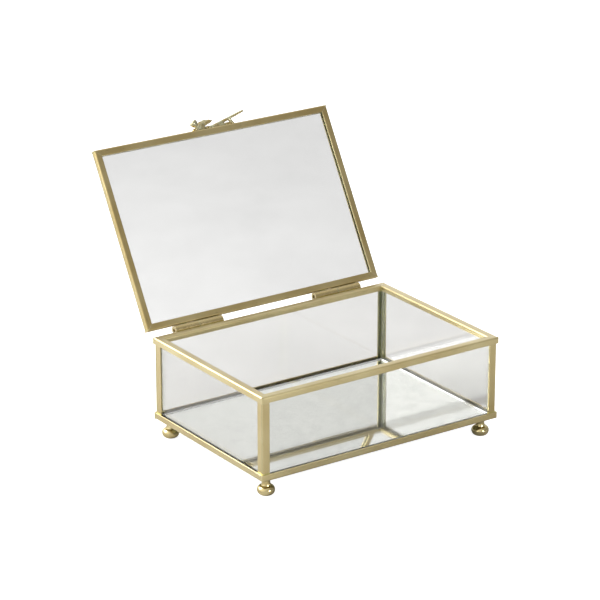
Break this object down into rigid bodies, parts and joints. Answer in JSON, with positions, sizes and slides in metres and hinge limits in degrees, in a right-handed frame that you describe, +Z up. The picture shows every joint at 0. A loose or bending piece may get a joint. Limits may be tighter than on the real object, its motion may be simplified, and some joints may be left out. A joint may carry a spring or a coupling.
{
  "type": "jewelry box",
  "caption": "Rectangular glass box in a brass frame, with a hinged glass lid that leans open, a mirror floor, turned ball feet and a cast sprig to lift the lid by.",
  "frame": {"origin": "on the table plane that the feet stand on, under the middle of the space that the open box takes up; the middle of the case is 33 mm in front of it", "axes": "+Z up, +Y towards the hinged back, +X to the right seen from the front; the lid stands open at rest"},
  "size_m": [0.16, 0.1762, 0.1594],
  "materials": {
    "satin_brass": "satin, pale gold",
    "polished_brass": "polished",
    "cast_brass": "cast, hand dressed",
    "hinge_brass": "drawn tube, satin",
    "side_glass": "clear float glass, green in the edge",
    "lid_glass": "clear float glass, green in the edge",
    "mirror": "silvered glass",
    "felt": "thin black felt"
  },
  "bodies": {
    "case": {"bottom_rail_front": "satin_brass", "bottom_rail_right": "satin_brass", "bottom_rail_back": "satin_brass", "bottom_rail_left": "satin_brass", "top_rail_front": "satin_brass", "top_rail_right": "satin_brass", "top_rail_back": "satin_brass", "top_rail_left": "satin_brass", "pane_front": "side_glass", "pane_right": "side_glass", "pane_back": "side_glass", "pane_left": "side_glass", "corner_post_front_left": "satin_brass", "corner_post_front_right": "satin_brass", "corner_post_back_left": "satin_brass", "corner_post_back_right": "satin_brass", "floor_felt": "felt", "floor_mirror": "mirror", "foot_front_left": "polished_brass", "foot_front_right": "polished_brass", "foot_back_left": "polished_brass", "foot_back_right": "polished_brass", "hinge_case_leaf_left": "hinge_brass", "hinge_case_leaf_right": "hinge_brass", "hinge_pin_left": "hinge_brass", "hinge_pin_right": "hinge_brass"},
    "lid": {"lid_rail_front": "satin_brass", "lid_rail_right": "satin_brass", "lid_rail_back": "satin_brass", "lid_rail_left": "satin_brass", "lid_pane": "lid_glass", "lid_sprig": "cast_brass", "hinge_lid_leaf_left": "hinge_brass", "hinge_lid_leaf_right": "hinge_brass"}
  },
  "joints": [
    {"name": "lid_hinge", "type": "hinge", "parent": "case", "child": "lid", "pos_m": [0, 0.02472, 0.0594], "axis": [1, 0, 0], "range_deg": [0, 120.5]}
  ]
}
